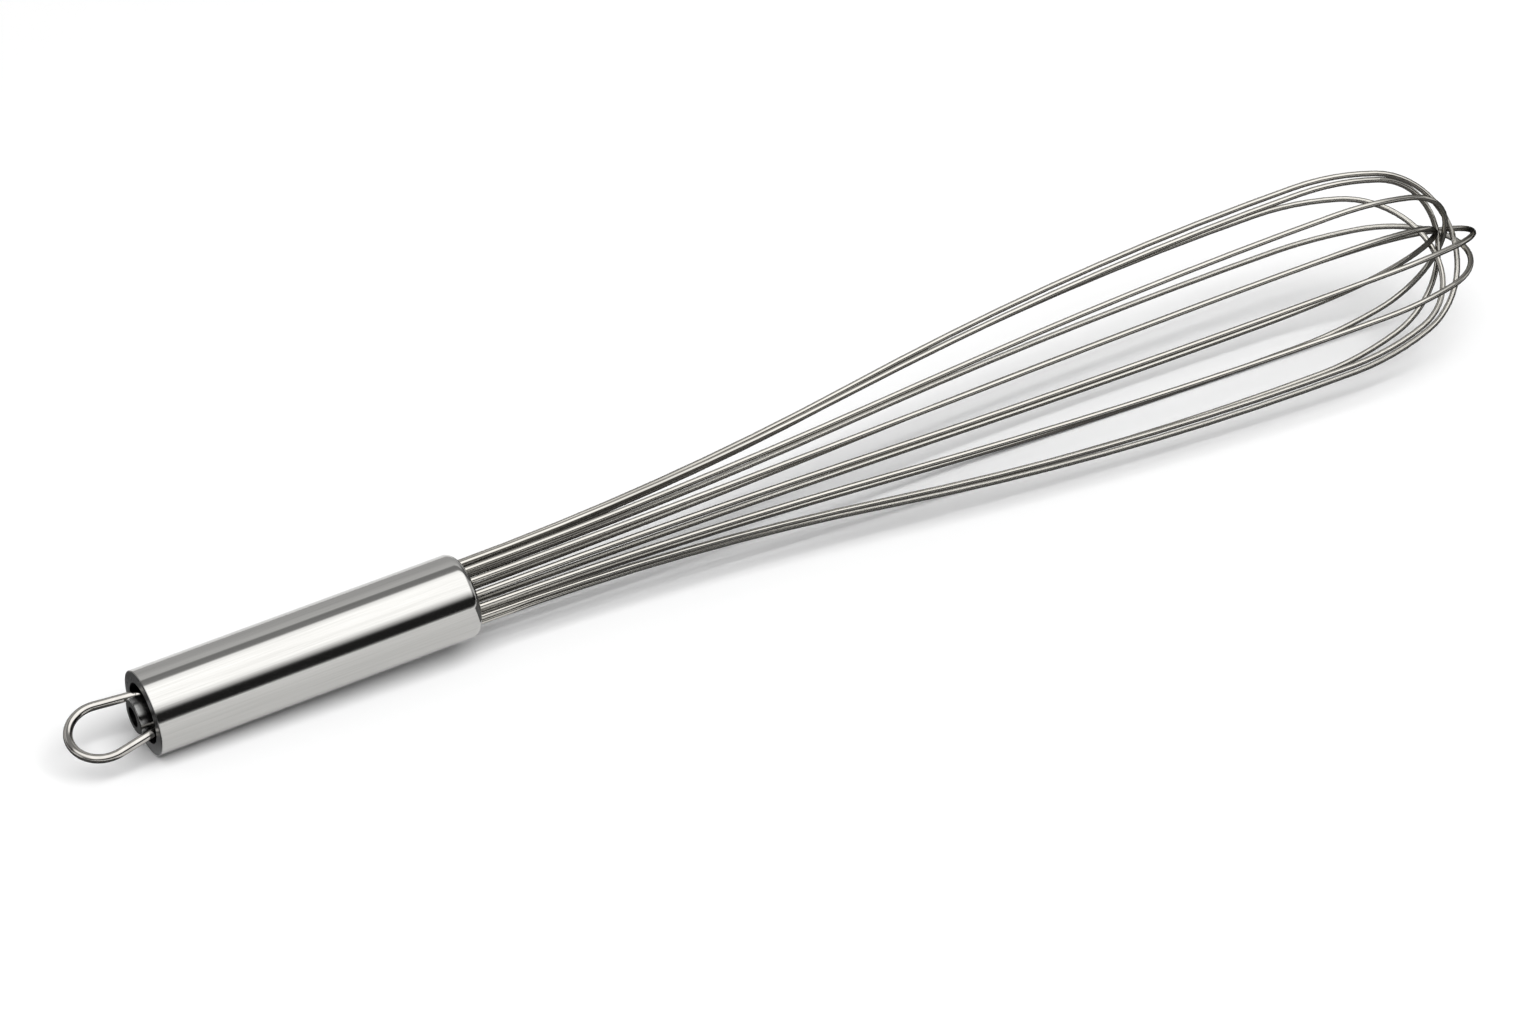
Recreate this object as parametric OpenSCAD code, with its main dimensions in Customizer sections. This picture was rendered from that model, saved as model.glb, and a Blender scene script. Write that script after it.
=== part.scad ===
// Balloon whisk lying on a table: seven sprung wire loops that cross at the tip, potted in a
// tubular steel handle whose sunk butt carries a swinging hanging loop on a hollow stud.
// The whisk's own axis runs from the butt plane, x = 0, to the tip, +X, and rest_pose() then
// tips it onto the table, where the butt rim and the two lowest wires touch z = 0.

/* [Handle] */
// Outside diameter of the handle tube
handle_d = 28; // [26:0.5:36]
// Length of the handle from the butt plane to the mouth
handle_length = 110.8; // [95:0.1:160]
// Wall of the handle tube
handle_wall = 0.9; // [0.6:0.1:1.4]
// Radius of the shoulder that is rolled in at the mouth
shoulder_r = 3.3; // [2.5:0.1:4]
// Rounding of the butt rim
rim_round = 0.4; // [0.2:0.1:0.8]

/* [Butt cap] */
// Diameter of the round recess in the butt
recess_d = 20; // [19.6:0.1:21]
// Depth of the recess
recess_depth = 4.6; // [4.2:0.1:7]
// Sheet thickness of the pressed cap
cap_wall = 0.9; // [0.6:0.1:1.3]
// Length of the flange that fits the inside of the tube
cap_flange_length = 3; // [2:0.5:6]

/* [Hanging loop stud] */
// Outside diameter of the hollow stud
stud_d = 11.8; // [11:0.1:12]
// Diameter of the hole in the stud's face
stud_hole_d = 6.6; // [4:0.1:7]
// Depth of the hole in the stud's face
stud_hole_depth = 6.5; // [5:0.5:7]
// Height of the stud above the butt plane
stud_height = 3.3; // [2:0.1:6]
// Rounding of the stud's outer edge
stud_round = 0.6; // [0.2:0.1:1]
// Diameter of the stud's shank, which is riveted through the cap
shank_d = 7; // [5:0.5:8.5]
// Diameter of the riveted head behind the cap
rivet_d = 10; // [9:0.5:13]
// Thickness of the riveted head
rivet_height = 1.2; // [0.8:0.1:2]

/* [Hanging loop] */
// Diameter of the hanging loop's wire
loop_wire_d = 2.9; // [2.4:0.1:3.1]
// Reach of the loop's middle line from its pivot to the far end
loop_reach = 26.7; // [22:0.1:40]
// Half width of the loop's middle line at its pivot
loop_half_width = 7.6; // [7.5:0.05:7.8]
// Depth of the pivot below the butt plane
pivot_depth = 2.5; // [2.3:0.1:2.7]
// Radius at the middle of the wire where its ends turn in
loop_bend_r = 2; // [1.8:0.1:2]
// Radial clearance of the loop's ends in the stud
pivot_gap = 0.05; // [0.02:0.01:0.08]

/* [Wires] */
// Diameter of the whisk's wires
wire_d = 2; // [1.4:0.1:2.2]
// Length from the butt plane to the outermost wire's middle line at the tip
tip_length = 495.5; // [430:0.5:560]
// Largest radius of the cage, at the middle line of a wire
cage_r = 33.3; // [24:0.1:42]
// Radius of the ring of wires at the handle, at the middle line of a wire
ring_r = 9.95; // [9.6:0.05:10]
// Clearance of the wires in the mouth
mouth_gap = 0.15; // [0.05:0.05:0.5]
// How much smaller the radius of each loop's round end is than the cage's
tip_inset = 3.5; // [1:0.1:8]
// Radius of the long curve that leads from the widest place into the round end
side_r = 110; // [80:1:200]
// Clearance between two wires where they cross at the tip
crossing_gap = 0.35; // [0.3:0.05:1]
// Length of wire inside the handle
leg_length = 44; // [25:1:60]

/* [Plug and filling] */
// Length of the plug that spaces the wires in the mouth
plug_length = 10; // [5:1:16]
// Depth of the filling behind the ends of the wires
filling_depth = 6; // [3:1:12]
// Radial clearance of pieces that are set into each other
seat_gap = 0.03; // [0.02:0.01:0.06]

/* [Hidden] */
overrun = 1;
joint_bead = 0.02;
// Distance of the loop's ends from the hole in the stud's face
pin_setback = 0.15;
round_fn = 96;
wire_fn = 32;

// Angle of each loop's plane about the axis, from upright, in degrees
wire_angles = [-37.5, -15, 15, 38, 60.5, 81, 114];
// Lean of each loop's plane away from the axis, from the mouth on, in degrees
wire_leans = [0.4, 0, 0, 0.1, -0.1, 0.4, 0.35];
// Sideways lean of the whole cage, from the mouth on, in degrees
cage_sway = 0.4;
// Place of each loop in the nest at the tip, 0 for the outermost
wire_places = [2, 4, 3, 6, 0, 1, 5];
// Share of the swell's length that the hollow flare takes, the rest being the full side
flare_share = 0.45;

// The loop stands out of the butt in line with the handle, but for this droop, in degrees
loop_droop = 4.7;
// Turn of the loop and its pivot about the handle's axis, in degrees
loop_roll = 13;
// Spread of each leg of the loop away from the axis, in degrees
loop_spread = 10;

handle_r = handle_d / 2;
tube_inner_r = handle_r - handle_wall;
recess_r = recess_d / 2;
stud_r = stud_d / 2;
stud_hole_r = stud_hole_d / 2;
shank_r = shank_d / 2;
rivet_r = rivet_d / 2;
cap_r = tube_inner_r - seat_gap;
loop_wire_r = loop_wire_d / 2;
wire_r = wire_d / 2;
mouth_r = ring_r + wire_r + mouth_gap;
plug_front = handle_length - shoulder_r;
plug_back = plug_front - plug_length;
leg_end = handle_length - leg_length;

// Middle line of one wire loop, in its own plane: leg, flare, full side, long curve, round end
tip_r = cage_r - tip_inset;
function lean_offset(k) = (tip_length - handle_length) * sin(wire_leans[k]);
function place_of(k) = wire_places[k] * (wire_d + crossing_gap) + pow(lean_offset(k), 2) / (2 * tip_r);
function end_centre(k) = tip_length - place_of(k) - tip_r;
turn_at_end = acos((side_r - cage_r) / (side_r - tip_r));
function widest(k) = end_centre(k) - (side_r - tip_r) * sin(turn_at_end);
function swell_angle(k) = 2 * atan((cage_r - ring_r) / (widest(k) - handle_length));
function swell_r(k) = (widest(k) - handle_length) / sin(swell_angle(k));
function flare_r(k) = swell_r(k) * flare_share;
function full_r(k) = swell_r(k) * (1 - flare_share);

// Tilt on the table: the two lowest wires touch it where they slope as the table does
low_wire = 1;
low_share = cos(wire_angles[low_wire]);
function contact_slope(tilt) = atan(tan(tilt) / low_share);
function contact_x(tilt) = widest(low_wire) - full_r(low_wire) * sin(contact_slope(tilt));
function contact_r(tilt) = cage_r - full_r(low_wire) * (1 - cos(contact_slope(tilt)));
function wire_low(tilt) = contact_x(tilt) * sin(tilt) - contact_r(tilt) * low_share * cos(tilt) - wire_r;
function rim_low(tilt) = rim_round * sin(tilt) - (handle_r - rim_round) * cos(tilt) - rim_round;
function settle(tilt, turns) = turns == 0 ? tilt
    : settle(tilt + atan((rim_low(tilt) - wire_low(tilt)) / contact_x(tilt)), turns - 1);
rest_tilt = settle(0, 8);
rest_height = -rim_low(rest_tilt);

// Hanging loop in its own plane: two spread legs that one round end joins, and ends that turn in
loop_centre = (loop_reach - loop_half_width * cos(loop_spread)) / (1 + sin(loop_spread));
loop_end_r = loop_reach - loop_centre;
bend_centre = loop_half_width + loop_bend_r * (sin(loop_spread) - 1) / cos(loop_spread);
leg_start = [loop_bend_r * (1 - sin(loop_spread)), bend_centre + loop_bend_r * cos(loop_spread)];
leg_stop = [loop_centre - loop_end_r * sin(loop_spread), loop_end_r * cos(loop_spread)];
pin_inner = stud_hole_d / 2 + pin_setback;

// The origin is under the middle of the whole whisk
outer_wire = search(0, wire_places)[0];
outer_centre = handle_length + (end_centre(outer_wire) - handle_length) * cos(cage_sway);
tip_reach = outer_centre * cos(rest_tilt) + wire_r
    + tip_r * sqrt(pow(cos(rest_tilt), 2) + pow(sin(rest_tilt) * cos(wire_angles[outer_wire]), 2));
loop_lean = rest_tilt + loop_droop;
butt_reach = loop_centre * cos(loop_lean) + loop_wire_r - pivot_depth * cos(rest_tilt)
    + loop_end_r * sqrt(pow(cos(loop_lean), 2) + pow(sin(loop_roll) * sin(rest_tilt), 2));
middle_x = (tip_reach - butt_reach) / 2;
function lean_share(k) = sin(wire_leans[k]) * cos(wire_angles[k]) + sin(cage_sway);
function lean_reach(k) = (widest(k) - handle_length) * lean_share(k);
function side_reach(k, side) = side * cage_r * sin(wire_angles[k]) - lean_reach(k);
side_reaches = [for (k = [0 : len(wire_angles) - 1], side = [-1, 1]) side_reach(k, side)];
middle_y = (max(side_reaches) + min(side_reaches)) / 2;

module rest_pose() {
    translate([-middle_x, -middle_y, rest_height]) rotate([0, -rest_tilt, 0]) children();
}

// Turns a profile drawn as (radius, distance from the butt plane) about the whisk's axis
module turned() {
    rotate([0, 90, 0]) rotate_extrude($fn = round_fn) children();
}

// Ring's profile between two radii and two distances from the butt plane
module band(inner, outer, from, to) {
    translate([inner, from]) square([outer - inner, to - from]);
}

// The same with both corners at its near end rounded
module rounded_band(inner, outer, from, to, round_r) {
    band(inner, outer, from + round_r, to);
    band(inner + round_r, outer - round_r, from, to);
    for (corner_r = [inner + round_r, outer - round_r])
        translate([corner_r, from + round_r]) circle(r = round_r, $fn = round_fn);
}

// Straight round bar along +X
module bar(bar_r, length) {
    rotate([0, 90, 0]) cylinder(r = bar_r, h = length, $fn = wire_fn);
}

// Bent round bar in the XY plane, its middle line centred on a point
module bend(centre, radius, bar_r, start, sweep, steps) {
    translate([centre[0], centre[1], 0]) rotate([0, 0, start])
        rotate_extrude(angle = sweep, $fn = ceil(steps * 360 / sweep))
            translate([radius, 0]) circle(r = bar_r, $fn = wire_fn);
}

// Ball that joins two stretches of a bar, a hair wider than the bar, its poles in the bar's line
module joint_ball(point, bar_r, turn) {
    translate([point[0], point[1], 0]) rotate([0, 90, turn]) sphere(r = bar_r + joint_bead, $fn = wire_fn);
}

module handle_tube() {
    shoulder_centre = [handle_r - shoulder_r, handle_length - shoulder_r];
    color("silver") rest_pose() turned() difference() {
        union() {
            band(0, handle_r, rim_round, shoulder_centre[1]);
            band(0, handle_r - rim_round, 0, rim_round);
            translate([handle_r - rim_round, rim_round]) circle(r = rim_round, $fn = round_fn);
            band(0, shoulder_centre[0], 0, handle_length);
            translate(shoulder_centre) circle(r = shoulder_r, $fn = round_fn);
        }
        band(0, tube_inner_r, -overrun, shoulder_centre[1]);
        translate(shoulder_centre) circle(r = shoulder_r - handle_wall, $fn = round_fn);
        band(0, mouth_r, -overrun, handle_length + overrun);
    }
}

// Pressed cup that closes the butt: a flat rim, a flange inside the tube and a sunk floor
module butt_cap() {
    color("gray") rest_pose() turned() difference() {
        union() {
            band(0, cap_r, 0, cap_wall);
            band(cap_r - cap_wall, cap_r, 0, cap_flange_length);
            band(0, recess_r + cap_wall, 0, recess_depth + cap_wall);
        }
        band(0, recess_r, -overrun, recess_depth);
        band(0, shank_r + seat_gap, -overrun, recess_depth + cap_wall + overrun);
    }
}

// Hollow stud riveted through the cap's floor, cross-drilled for the ends of the hanging loop
module loop_stud() {
    color("silver") rest_pose() difference() {
        turned() difference() {
            union() {
                rounded_band(stud_hole_r - overrun, stud_r, -stud_height, recess_depth, stud_round);
                band(0, stud_hole_r, stud_hole_depth - stud_height, recess_depth);
                band(0, shank_r, recess_depth, recess_depth + cap_wall);
                band(0, rivet_r, recess_depth + cap_wall, recess_depth + cap_wall + rivet_height);
            }
            band(0, stud_hole_r, -stud_height - overrun, stud_hole_depth - stud_height);
        }
        rotate([loop_roll, 0, 0]) translate([pivot_depth, -handle_r, 0]) rotate([-90, 0, 0])
            cylinder(r = loop_wire_r + pivot_gap, h = handle_d, $fn = round_fn);
    }
}

// Half of the hanging loop in the XY plane, its pivot on x = 0 and its far end towards +X
module loop_side() {
    translate([0, pin_inner, 0]) rotate([-90, 0, 0])
        cylinder(r = loop_wire_r, h = bend_centre - pin_inner, $fn = wire_fn);
    bend([loop_bend_r, bend_centre], loop_bend_r, loop_wire_r, 90 + loop_spread, 90 - loop_spread, 10);
    translate([leg_start[0], leg_start[1], 0]) rotate([0, 0, loop_spread])
        bar(loop_wire_r, (leg_stop[0] - leg_start[0]) / cos(loop_spread));
    joint_ball([0, bend_centre], loop_wire_r, 90);
    for (point = [leg_start, leg_stop])
        joint_ball(point, loop_wire_r, loop_spread);
}

module hanging_loop() {
    color("silver") rest_pose() rotate([loop_roll, 0, 0]) translate([pivot_depth, 0, 0])
        rotate([0, 180 - loop_droop, 0]) {
            loop_side();
            mirror([0, 1, 0]) loop_side();
            bend([loop_centre, 0], loop_end_r, loop_wire_r, -90 - loop_spread, 180 + 2 * loop_spread, 40);
        }
}

// Both legs of every wire, as bars that run from one distance along the axis to another
module wire_legs(bar_r, from, to) {
    for (angle = wire_angles)
        for (side = [0, 180])
            rotate([angle + side, 0, 0]) translate([from, 0, ring_r]) bar(bar_r, to - from);
}

module wire_plug() {
    color("dimgray") rest_pose() difference() {
        turned() band(0, tube_inner_r - seat_gap, plug_back, plug_front);
        wire_legs(wire_r + seat_gap, plug_back - overrun, plug_front + overrun);
    }
}

module handle_filling() {
    color("wheat") rest_pose() difference() {
        turned() band(0, tube_inner_r - seat_gap, leg_end - filling_depth, plug_back);
        wire_legs(wire_r + seat_gap, leg_end, plug_back + overrun);
    }
}

// Half of a wire loop's sprung part in the XY plane: the flare, the full side and the long curve
module wire_side(k) {
    swell = swell_angle(k);
    flare_end = [flare_r(k) * sin(swell), flare_r(k) * (1 - cos(swell))] + [handle_length, ring_r];
    side_end = [end_centre(k) + tip_r * sin(turn_at_end), tip_r * cos(turn_at_end)];
    bend([handle_length, ring_r + flare_r(k)], flare_r(k), wire_r, -90, swell, 10);
    bend([widest(k), cage_r - full_r(k)], full_r(k), wire_r, 90, swell, 10);
    bend([widest(k), cage_r - side_r], side_r, wire_r, 90 - turn_at_end, turn_at_end, 8);
    joint_ball(flare_end, wire_r, swell);
    joint_ball([widest(k), cage_r], wire_r, 0);
    joint_ball(side_end, wire_r, -turn_at_end);
}

// One wire: two legs in the handle, and a sprung loop that leans a little from the mouth on
module wire_loop(k) {
    color("gainsboro") rest_pose() {
        rotate([90 + wire_angles[k], 0, 0])
            for (side = [-1, 1]) {
                translate([leg_end, side * ring_r, 0]) bar(wire_r, leg_length);
                joint_ball([handle_length, side * ring_r], wire_r, 0);
            }
        translate([handle_length, 0, 0]) rotate([0, 0, -cage_sway]) rotate([90 + wire_angles[k], 0, 0])
            rotate([0, -wire_leans[k], 0]) translate([-handle_length, 0, 0]) {
                wire_side(k);
                mirror([0, 1, 0]) wire_side(k);
                bend([end_centre(k), 0], tip_r, wire_r, turn_at_end - 90, 180 - 2 * turn_at_end, 40);
            }
    }
}

module wire_1() { wire_loop(0); }
module wire_2() { wire_loop(1); }
module wire_3() { wire_loop(2); }
module wire_4() { wire_loop(3); }
module wire_5() { wire_loop(4); }
module wire_6() { wire_loop(5); }
module wire_7() { wire_loop(6); }

handle_tube();
butt_cap();
loop_stud();
hanging_loop();
wire_plug();
handle_filling();
wire_1();
wire_2();
wire_3();
wire_4();
wire_5();
wire_6();
wire_7();
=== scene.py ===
"""Balloon whisk on a pale studio floor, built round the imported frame. Lengths are in metres."""

import math

import bpy
import numpy as np
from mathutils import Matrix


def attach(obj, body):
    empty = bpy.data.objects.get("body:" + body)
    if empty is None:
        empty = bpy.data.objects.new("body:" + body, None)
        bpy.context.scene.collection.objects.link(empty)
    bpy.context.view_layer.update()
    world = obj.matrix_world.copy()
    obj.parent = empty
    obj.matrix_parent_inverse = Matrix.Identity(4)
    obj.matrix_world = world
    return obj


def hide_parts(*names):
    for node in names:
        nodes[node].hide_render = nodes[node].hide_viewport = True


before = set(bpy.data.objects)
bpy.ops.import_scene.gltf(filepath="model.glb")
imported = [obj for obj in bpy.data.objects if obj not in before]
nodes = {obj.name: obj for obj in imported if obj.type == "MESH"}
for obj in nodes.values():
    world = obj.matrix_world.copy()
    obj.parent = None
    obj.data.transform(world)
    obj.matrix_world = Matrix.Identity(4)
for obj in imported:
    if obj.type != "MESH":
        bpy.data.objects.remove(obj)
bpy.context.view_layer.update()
MM = 0.001

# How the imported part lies: a tilt about Y, then a shift in millimetres. In the whisk's own frame x
# runs along its axis from the butt plane to the tip, and y and z are measured from the axis.
REST_TILT = math.radians(2.7283)
REST_SHIFT = (-235.25, 2.6561, 13.9655)
REST_TURN = np.array([[math.cos(REST_TILT), 0, -math.sin(REST_TILT)],
                      [0, 1, 0],
                      [math.sin(REST_TILT), 0, math.cos(REST_TILT)]])

# ---------------------------------------------------------------- shader nodes
NOISE_LOW, NOISE_HIGH = 0.3, 0.7           # most noise values lie between these
MIX_DARK, MIX_LIGHT, MIX_OUT = 6, 7, 2     # the colour sockets of a Mix node


def new_material(name):
    mat = bpy.data.materials.new(name)
    mat.use_nodes = True
    tree = mat.node_tree
    return mat, tree, tree.nodes["Principled BSDF"]


def link(tree, a, out, b, inp):
    tree.links.new(a.outputs[out], b.inputs[inp])


def whisk_coords(tree):
    """A node that gives object coordinates in the whisk's own frame, in metres."""
    coords = tree.nodes.new("ShaderNodeTexCoord")
    turn = tree.nodes.new("ShaderNodeMapping")
    c, s = math.cos(REST_TILT), math.sin(REST_TILT)
    x, y, z = (v * MM for v in REST_SHIFT)
    turn.inputs["Rotation"].default_value = (0, REST_TILT, 0)
    turn.inputs["Location"].default_value = (-c * x - s * z, -y, s * x - c * z)
    link(tree, coords, "Object", turn, "Vector")
    return turn


def noise(tree, stretch, detail, rough=0.5):
    """Noise in the whisk's frame, with so many cells a metre along each axis."""
    scale = tree.nodes.new("ShaderNodeMapping")
    scale.inputs["Scale"].default_value = stretch
    link(tree, whisk_coords(tree), "Vector", scale, "Vector")
    node = tree.nodes.new("ShaderNodeTexNoise")
    node.inputs["Scale"].default_value = 1.0
    node.inputs["Detail"].default_value = detail
    node.inputs["Roughness"].default_value = rough
    link(tree, scale, "Vector", node, "Vector")
    return node.outputs["Fac"]


def spread(tree, source, low, high, start=NOISE_LOW, stop=NOISE_HIGH):
    """A value that goes from low to high while the source goes from start to stop."""
    node = tree.nodes.new("ShaderNodeMapRange")
    node.inputs["From Min"].default_value = start
    node.inputs["From Max"].default_value = stop
    node.inputs["To Min"].default_value = low
    node.inputs["To Max"].default_value = high
    tree.links.new(source, node.inputs["Value"])
    return node.outputs[0]


def tint(tree, factor, dark, light):
    """A colour from dark, where the factor is 0, to light, where it is 1."""
    node = tree.nodes.new("ShaderNodeMix")
    node.data_type = "RGBA"
    for socket, value in ((MIX_DARK, dark), (MIX_LIGHT, light)):
        if isinstance(value, tuple):
            node.inputs[socket].default_value = (*value, 1)
        else:
            tree.links.new(value, node.inputs[socket])
    tree.links.new(factor, node.inputs[0])
    return node.outputs[MIX_OUT]


def calc(tree, operation, first, second=0.0):
    """A Math node on two values, each a number or a socket."""
    node = tree.nodes.new("ShaderNodeMath")
    node.operation = operation
    for socket, value in ((0, first), (1, second)):
        if isinstance(value, (int, float)):
            node.inputs[socket].default_value = value
        else:
            tree.links.new(value, node.inputs[socket])
    return node.outputs[0]


def axis_place(tree):
    """Distance from the butt plane and from the axis, in metres."""
    split = tree.nodes.new("ShaderNodeSeparateXYZ")
    link(tree, whisk_coords(tree), "Vector", split, "Vector")
    squares = [calc(tree, "MULTIPLY", split.outputs[k], split.outputs[k]) for k in (1, 2)]
    return split.outputs[0], calc(tree, "SQRT", calc(tree, "ADD", *squares))


# ---------------------------------------------------------------- shades
# Each gives a mask, the tone that it brings, and how much duller the steel is there. The recess, the
# stud's hole and the legs near the mouth get painted shade.
LEG_RADIUS = 10 * MM                         # of the legs about the axis, near the mouth
FLARE_SLOPE, FLARE_BASE = 0.085, -2.1 * MM   # the same radius from where the legs spread


def butt_edge(tree):
    """The cut end of the tube at the butt, duller and darker than its outside."""
    along, _ = axis_place(tree)
    return spread(tree, along, 1, 0, 0.10 * MM, 0.45 * MM), (0.10, 0.10, 0.10), 0.2


def recess_painted_shade(tree):
    """Painted shade, near black, on the floor and wall of the sunk butt, where little light reaches.
    """
    _, out = axis_place(tree)
    return spread(tree, out, 1, 0, 9.9 * MM, 10.4 * MM), (0.03, 0.03, 0.03), 0.05


def stud_hole_painted_shade(tree):
    """Painted shade, near black, in the blind hole in the stud's face."""
    _, out = axis_place(tree)
    return spread(tree, out, 1, 0, 3.4 * MM, 3.8 * MM), (0.03, 0.03, 0.03), 0.1


def bundle_painted_shade(tree):
    """Painted shade on the legs' inner sides near the mouth, where they stand close and little light
    reaches.
    """
    along, out = axis_place(tree)
    flare = calc(tree, "ADD", calc(tree, "MULTIPLY", along, FLARE_SLOPE), FLARE_BASE)
    depth = calc(tree, "SUBTRACT", out, calc(tree, "MAXIMUM", flare, LEG_RADIUS))
    inner = spread(tree, depth, 0.85, 0, -0.8 * MM, 0.3 * MM)
    near = spread(tree, along, 1, 0, 115 * MM, 240 * MM)
    return calc(tree, "MULTIPLY", inner, near), (0.09, 0.085, 0.075), 0.05


# ---------------------------------------------------------------- materials
FINE_SHARE, BROAD_SHARE = 0.6, 0.4     # of the two grains of steel
RELIEF_DEPTH = 0.01 * MM
PLASTIC_CELLS = (700, 700, 700)
PLASTIC_DULL = 0.08                    # how far a plastic's roughness goes up and down


def steel(name, dark, light, rough, fine, broad, bump, shade=None, edge=1.0):
    """Steel with fine drawn lines over broad ones: their tone, gloss and depth vary together.

    rough is the roughness of the light and of the dark lines, fine and broad are the cells a metre
    of the two grains, and edge is the steel's brightness where it is seen almost edge on."""
    mat, tree, shader = new_material(name)
    shader.inputs["Metallic"].default_value = 1.0
    shader.inputs["Specular Tint"].default_value = (edge, edge, edge, 1)
    fine_grain = calc(tree, "MULTIPLY", noise(tree, fine, 5.0, 0.6), FINE_SHARE)
    broad_grain = calc(tree, "MULTIPLY", noise(tree, broad, 3.0, 0.5), BROAD_SHARE)
    grain = calc(tree, "ADD", fine_grain, broad_grain)
    colour = tint(tree, spread(tree, grain, 0, 1), dark, light)
    gloss = spread(tree, grain, rough[1], rough[0])
    # A shade's tone is painted into the colour over its mask: painted shade for the recess, the
    # stud's hole and the legs near the mouth, and a darker cut end at the butt.
    if shade:
        mask, tone, dull = shade(tree)
        colour = tint(tree, mask, colour, tone)
        gloss = calc(tree, "ADD", gloss, calc(tree, "MULTIPLY", mask, dull))
    tree.links.new(colour, shader.inputs["Base Color"])
    tree.links.new(gloss, shader.inputs["Roughness"])
    relief = tree.nodes.new("ShaderNodeBump")
    relief.inputs["Strength"].default_value = bump
    relief.inputs["Distance"].default_value = RELIEF_DEPTH
    tree.links.new(grain, relief.inputs["Height"])
    link(tree, relief, "Normal", shader, "Normal")
    return mat


def plastic(name, dark, light, rough):
    mat, tree, shader = new_material(name)
    grain = noise(tree, PLASTIC_CELLS, 5.0)
    colour = tint(tree, spread(tree, grain, 0, 1), dark, light)
    gloss = spread(tree, grain, rough - PLASTIC_DULL, rough + PLASTIC_DULL)
    tree.links.new(colour, shader.inputs["Base Color"])
    tree.links.new(gloss, shader.inputs["Roughness"])
    return mat


# The cap's recess, the stud's hole and the wires' legs near the mouth get painted shade from their
# shades.
satin_steel = steel("satin_steel", (0.42, 0.415, 0.40), (0.51, 0.505, 0.49), rough=(0.07, 0.13),
                    fine=(40, 3000, 3000), broad=(12, 700, 700), bump=0.22, shade=butt_edge)
cap_steel = steel("cap_steel", (0.09, 0.09, 0.092), (0.15, 0.15, 0.152), rough=(0.25, 0.35),
                  fine=(1200, 1200, 1200), broad=(300, 300, 300), bump=0.3, shade=recess_painted_shade)
stud_steel = steel("stud_steel", (0.16, 0.16, 0.157), (0.26, 0.26, 0.255), rough=(0.16, 0.24),
                   fine=(1200, 1200, 1200), broad=(300, 300, 300), bump=0.2, shade=stud_hole_painted_shade)
wire_steel = steel("wire_steel", (0.425, 0.41, 0.375), (0.505, 0.49, 0.455), rough=(0.11, 0.15),
                   fine=(60, 900, 900), broad=(20, 200, 200), bump=0.02, shade=bundle_painted_shade, edge=0.1)
loop_steel = steel("loop_steel", (0.40, 0.385, 0.36), (0.49, 0.475, 0.45), rough=(0.08, 0.13),
                   fine=(500, 500, 500), broad=(120, 120, 120), bump=0.06, edge=0.1)
plug_plastic = plastic("plug_plastic", (0.012, 0.012, 0.012), (0.03, 0.03, 0.03), 0.6)
filling_resin = plastic("filling_resin", (0.42, 0.38, 0.30), (0.55, 0.50, 0.40), 0.5)

# The seven wires take wire_steel, and the bent copies below take their materials along.
FINISH = {"handle_tube": satin_steel, "butt_cap": cap_steel, "loop_stud": stud_steel,
          "hanging_loop": loop_steel, "wire_plug": plug_plastic, "handle_filling": filling_resin}
for name, node in nodes.items():
    for slot in node.material_slots:
        slot.material = FINISH.get(name, wire_steel)


def placed(name, data):
    """A new object in the scene."""
    obj = bpy.data.objects.new(name, data)
    bpy.context.scene.collection.objects.link(obj)
    return obj


# ---------------------------------------------------------------- the wires near the mouth
# In the photo the fourteen legs stand evenly round the mouth and swing over to the wider spacing of
# the cage. Each wire is bent that way here: turned about the whisk's axis by its own angle in the
# handle, and less and less from the mouth to where the cage opens. The plug and the filling follow,
# so that their holes stay on the legs. Lengths are in millimetres and angles in degrees.
MOUTH_X, CAGE_X = 112.0, 300.0
VIEW_ANGLE = 39.8     # turns an angle about the axis into one from the photo's line of sight
HOLE_REACH = 7.0      # on each side of a leg, where the plug and the filling turn as the leg does
WIRES = [f"wire_{k}" for k in range(1, 8)]
PITCH = 180 / len(WIRES)
# The legs stand at odd quarters of the pitch, so that the back ones show between the front ones.
STARTS = [share * PITCH for share in (-0.25, 0.25, 0.75, 1.25)]


def mesh_array(items, key, width):
    """One attribute of a mesh's vertices or corners, a row for each."""
    values = np.empty(len(items) * width, np.float32)
    items.foreach_get(key, values)
    return values.reshape(-1, width).astype(float)


def whisk_points(mesh):
    """A mesh's points in the whisk's own frame, in millimetres."""
    return (mesh_array(mesh.vertices, "co", 3) / MM - REST_SHIFT) @ REST_TURN


def turned(points, angle):
    """Points turned about the whisk's axis, each by its own angle in degrees."""
    c, s = np.cos(np.radians(angle)), np.sin(np.radians(angle))
    x, y, z = points.T
    return np.column_stack([x, c * y - s * z, s * y + c * z])


def leg_angle(mesh):
    """The angle of a wire's plane about the axis inside the handle, between 0 and 180 degrees."""
    x, y, z = whisk_points(mesh).T
    inside = x < MOUTH_X
    double = 2 * np.arctan2(z[inside], y[inside])
    return math.degrees(math.atan2(np.sin(double).mean(), np.cos(double).mean())) / 2 % 180


legs = {name: (leg_angle(nodes[name].data) + VIEW_ANGLE) % 180 for name in WIRES}
order = sorted(WIRES, key=legs.get)


def turns_from(start):
    """Each wire's turn that makes the legs stand evenly, the first of them at start."""
    return {name: start + PITCH * k - legs[name] for k, name in enumerate(order)}


bend = min(map(turns_from, STARTS), key=lambda turns: max(abs(t) for t in turns.values()))
knots = sorted(((legs[name] - VIEW_ANGLE) % 180 + side * HOLE_REACH, bend[name])
               for name in WIRES for side in (-1, 1))


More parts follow.
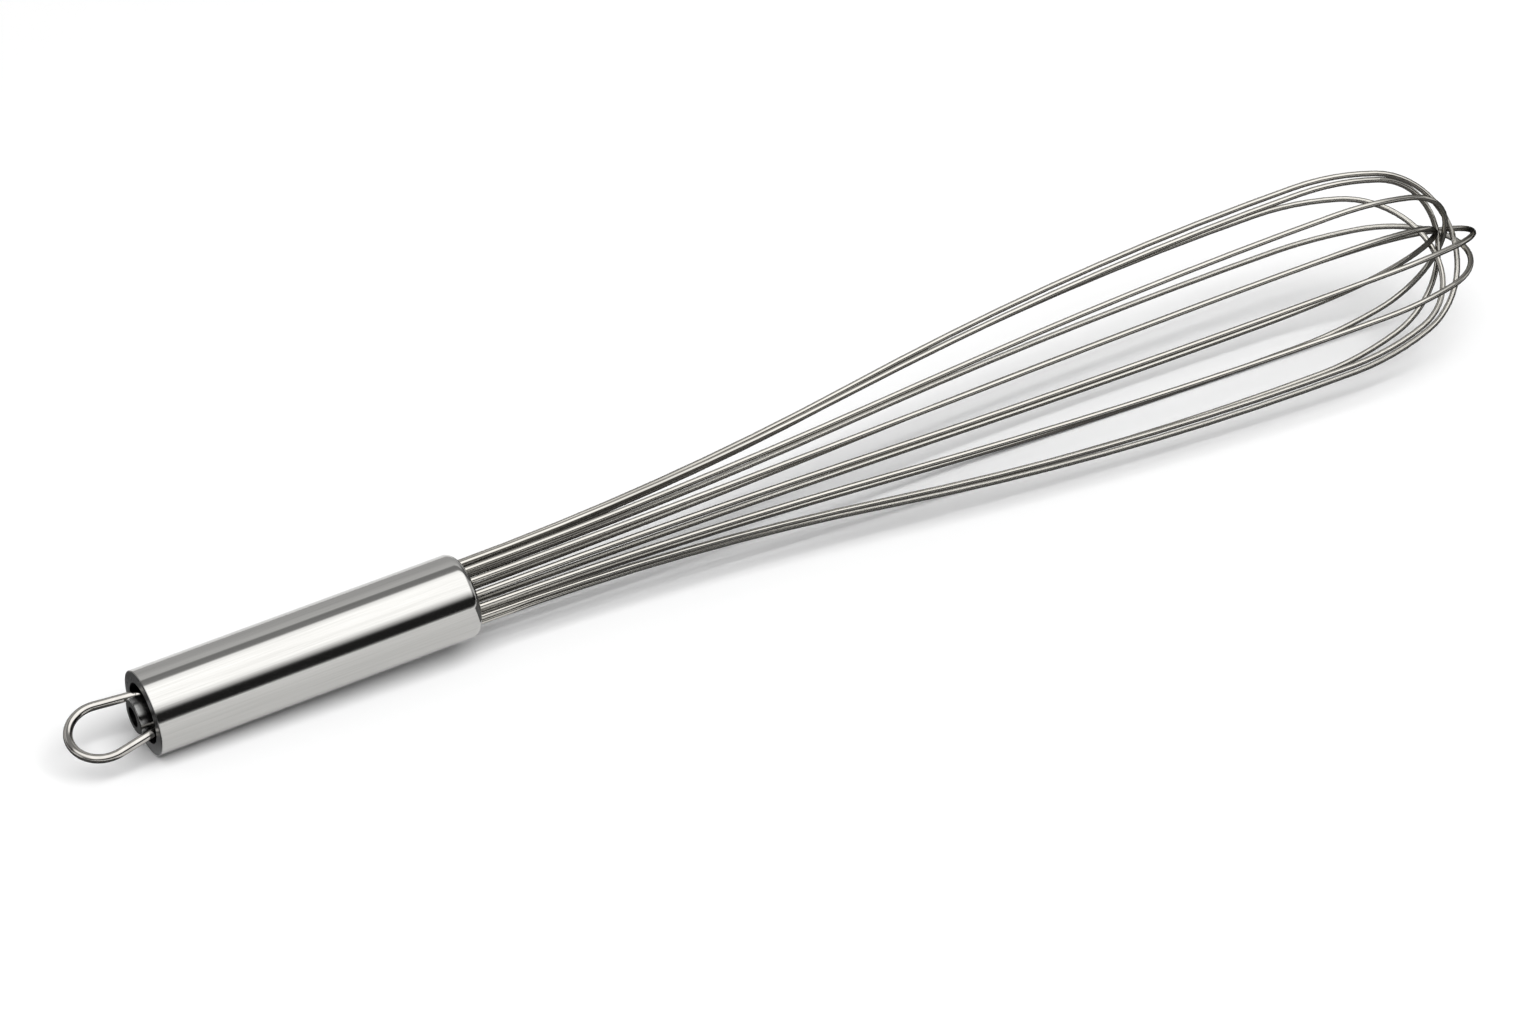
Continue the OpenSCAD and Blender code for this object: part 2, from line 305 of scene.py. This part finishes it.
def bent_copy(name, piece_name, angle_of):
    """A copy of a CAD node with each point, and the shading there, turned by angle_of(points)."""
    old = nodes[name].data
    points = whisk_points(old)
    angle = angle_of(points)
    corners = np.empty(len(old.loops), np.int32)
    old.loops.foreach_get("vertex_index", corners)
    normals = mesh_array(old.corner_normals, "vector", 3) @ REST_TURN
    normals = turned(normals, angle[corners]) @ REST_TURN.T
    points = (turned(points, angle) @ REST_TURN.T + REST_SHIFT) * MM
    mesh = old.copy()
    mesh.vertices.foreach_set("co", points.astype(np.float32).ravel())
    mesh.update()
    mesh.normals_split_custom_set(normals.tolist())
    piece = placed(piece_name, mesh)
    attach(piece, "whisk")
    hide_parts(name)


def fading(turn):
    """The whole turn up to the mouth, and none from where the cage opens."""
    def angle_of(points):
        part = np.clip((CAGE_X - points[:, 0]) / (CAGE_X - MOUTH_X), 0, 1)
        return turn * part * part * (3 - 2 * part)
    return angle_of


def between_legs(points):
    """Near a leg its own turn, and between two legs a blend of theirs."""
    angle = np.degrees(np.arctan2(points[:, 2], points[:, 1]))
    places, turns = zip(*knots)
    return np.interp(angle, places, turns, period=180)


for name in WIRES:
    bent_copy(name, "sprung_" + name, fading(bend[name]))
bent_copy("wire_plug", "mouth_plug", between_legs)
bent_copy("handle_filling", "cast_filling", between_legs)

# ---------------------------------------------------------------- camera
# Fitted to the photo. The focal length is in pixels of the photo's width.
FOCAL_PX, PHOTO_WIDTH, SENSOR_MM = 4500.0, 1536.0, 36.0
CAMERA_PLACE = (-0.59910, -1.03711, 0.87585)
LOOK_DOWN, LOOK_RIGHT = 35.908, 29.337    # degrees

camera = placed("camera", bpy.data.cameras.new("camera"))
camera.data.sensor_width = SENSOR_MM
camera.data.lens = FOCAL_PX / PHOTO_WIDTH * SENSOR_MM
camera.data.clip_end = 100
camera.location = CAMERA_PLACE
camera.rotation_euler = (math.radians(90 - LOOK_DOWN), 0, math.radians(-LOOK_RIGHT))
bpy.context.scene.camera = camera

# ---------------------------------------------------------------- background and floor
WORLD_LEVEL, SEEN_LEVEL = 0.33, 1.0    # of the world: as light, and as the white background
FLOOR_TONE = (0.95, 0.95, 0.95)
FLOOR_AGAIN = (0.35, 0.35, 0.35)       # for rays that have met a matt surface before
FLOOR_LIFT = 0.03                      # its own faint light
FLOOR_HALF = 40                        # half of its side


def straight_rays(tree):
    """1 for rays that have met no matt surface yet, so that no card lights the floor by way of
    the steel."""
    path = tree.nodes.new("ShaderNodeLightPath")
    return calc(tree, "LESS_THAN", path.outputs["Diffuse Depth"], 0.5)


def seen_rays(tree):
    """1 for camera, glossy and transmission rays, which see the white background."""
    path = tree.nodes.new("ShaderNodeLightPath")
    total = path.outputs["Is Camera Ray"]
    for name in ("Is Glossy Ray", "Is Transmission Ray"):
        total = calc(tree, "MAXIMUM", total, path.outputs[name])
    return calc(tree, "MULTIPLY", total, straight_rays(tree))


def stage_piece(name, points, faces, material):
    """A piece of the studio, which is no part of the whisk."""
    mesh = bpy.data.meshes.new(name)
    mesh.from_pydata(points, [], faces)
    mesh.materials.append(material)
    piece = placed(name, mesh)
    return piece


world = bpy.data.worlds.new("studio")
bpy.context.scene.world = world
world.use_nodes = True
tree = world.node_tree
backdrop = tree.nodes["Background"]
backdrop.inputs["Color"].default_value = (1, 1, 1, 1)
strength = spread(tree, seen_rays(tree), WORLD_LEVEL, SEEN_LEVEL, 0, 1)
tree.links.new(strength, backdrop.inputs["Strength"])

floor_mat, tree, shader = new_material("floor")
floor_colour = tint(tree, straight_rays(tree), FLOOR_AGAIN, FLOOR_TONE)
floor_lift = calc(tree, "MULTIPLY", seen_rays(tree), FLOOR_LIFT)
tree.links.new(floor_colour, shader.inputs["Base Color"])
tree.links.new(floor_lift, shader.inputs["Emission Strength"])
shader.inputs["Roughness"].default_value = 0.9
shader.inputs["Specular IOR Level"].default_value = 0.1
shader.inputs["Emission Color"].default_value = (1, 1, 1, 1)
stage_piece("floor", [(x * FLOOR_HALF, y * FLOOR_HALF, 0)
                      for x, y in ((-1, -1), (1, -1), (1, 1), (-1, 1))], [(0, 1, 2, 3)], floor_mat)


# ---------------------------------------------------------------- what the steel reflects
def card(name, points, faces, tone):
    """A studio card that only reflections see. tone(tree) gives its light."""
    mat, tree, shader = new_material(name)
    tree.nodes.remove(shader)
    glow = tree.nodes.new("ShaderNodeEmission")
    tree.links.new(tone(tree), glow.inputs["Strength"])
    link(tree, glow, "Emission", tree.nodes["Material Output"], "Surface")
    piece = stage_piece(name, points, faces, mat)
    piece.visible_camera = piece.visible_diffuse = piece.visible_shadow = False
    piece.visible_transmission = piece.visible_volume_scatter = False


def curve(tree, source, points):
    """A value that runs straight from point to point of (place, value) pairs."""
    first, last = points[0][0], points[-1][0]
    top = max(value for _, value in points)
    ramp = tree.nodes.new("ShaderNodeValToRGB")
    tree.links.new(spread(tree, source, 0, 1, first, last), ramp.inputs["Fac"])
    stops = ramp.color_ramp.elements
    for k, (place, value) in enumerate(points):
        part = (place - first) / (last - first)
        stop = stops[k] if k < 2 else stops.new(part)    # a new ramp has two stops
        stop.position = part
        stop.color = (*[value / top] * 3, 1)
    return calc(tree, "MULTIPLY", ramp.outputs["Color"], top)


# A tent of cards round the whisk's line, a half-cylinder. Its tones go by elevation in degrees from
# the front: a black flag low down, a broad white card overhead, a dark gap and a grey wall behind.
# Its ends, by distance along the line, are dimmer than its middle.
TENT_RADIUS, TENT_REACH, TENT_GAIN, TENT_STEP = 2.5, 9.0, 1.08, 3
TENT_ROUND = [(0, 0.60), (1, 0.50), (5, 0.02), (25, 0.02), (28, 0.12), (31, 0.42), (36, 0.90),
              (41, 1.4), (48, 1.9), (92, 1.95), (104, 1.65), (109, 0.34), (124, 0.28), (129, 0.78),
              (138, 0.72), (150, 0.60), (165, 0.53), (180, 0.58)]
TENT_ALONG = [(0, TENT_GAIN), (2.1, TENT_GAIN), (3.2, 0.32), (TENT_REACH, 0.28)]


def tent_tone(tree):
    coords = tree.nodes.new("ShaderNodeTexCoord")
    split = tree.nodes.new("ShaderNodeSeparateXYZ")
    link(tree, coords, "Object", split, "Vector")
    to_front = calc(tree, "MULTIPLY", split.outputs[1], -1.0)
    angle = calc(tree, "ARCTAN2", split.outputs[2], to_front)
    round_it = curve(tree, calc(tree, "MULTIPLY", angle, 180 / math.pi), TENT_ROUND)
    along_it = curve(tree, calc(tree, "ABSOLUTE", split.outputs[0]), TENT_ALONG)
    return calc(tree, "MULTIPLY", calc(tree, "MULTIPLY", round_it, along_it), straight_rays(tree))


arc = [math.radians(e) for e in range(0, 181, TENT_STEP)]
card("tent", [(x, -TENT_RADIUS * math.cos(e), TENT_RADIUS * math.sin(e))
              for e in arc for x in (-TENT_REACH, TENT_REACH)],
     [(2 * k, 2 * k + 1, 2 * k + 3, 2 * k + 2) for k in range(len(arc) - 1)], tent_tone)

FLAG_HEIGHT = 0.0004


def flag(name, corners, tone):
    """A dark flag just above the floor, which darkens the lower halves of the wires over it."""
    card(name, [(x, y, FLAG_HEIGHT) for x, y in corners], [tuple(range(len(corners)))],
         lambda tree: calc(tree, "MULTIPLY", straight_rays(tree), tone))


flag("cage_flag", [(-0.108, -0.01), (0.01, -0.24), (0.60, -0.24), (0.60, 0.30), (0.04, 0.30),
                   (-0.108, 0.02)], 0.15)
flag("loop_flag", [(-0.34, -0.05), (-0.248, -0.03), (-0.238, 0.0), (-0.238, 0.06),
                   (-0.34, 0.06)], 0.12)

# ---------------------------------------------------------------- light
# One large soft lamp, high in front and turned to the whisk. Reflections see the tent instead.
LAMP_SIZE, LAMP_WATTS = (6.6, 3.6), 284
LAMP_DISTANCE, LAMP_ELEVATION = 5.0, 64    # metres, degrees

lamp = bpy.data.lights.new("softbox", "AREA")
lamp.shape, lamp.energy = "RECTANGLE", LAMP_WATTS
lamp.size, lamp.size_y = LAMP_SIZE
softbox = placed("softbox", lamp)
softbox.location = (0.0, -LAMP_DISTANCE * math.cos(math.radians(LAMP_ELEVATION)),
                    LAMP_DISTANCE * math.sin(math.radians(LAMP_ELEVATION)))
softbox.rotation_euler = (math.radians(90 - LAMP_ELEVATION), 0, 0)
softbox.visible_glossy = False

bpy.context.scene.view_settings.view_transform = "Standard"
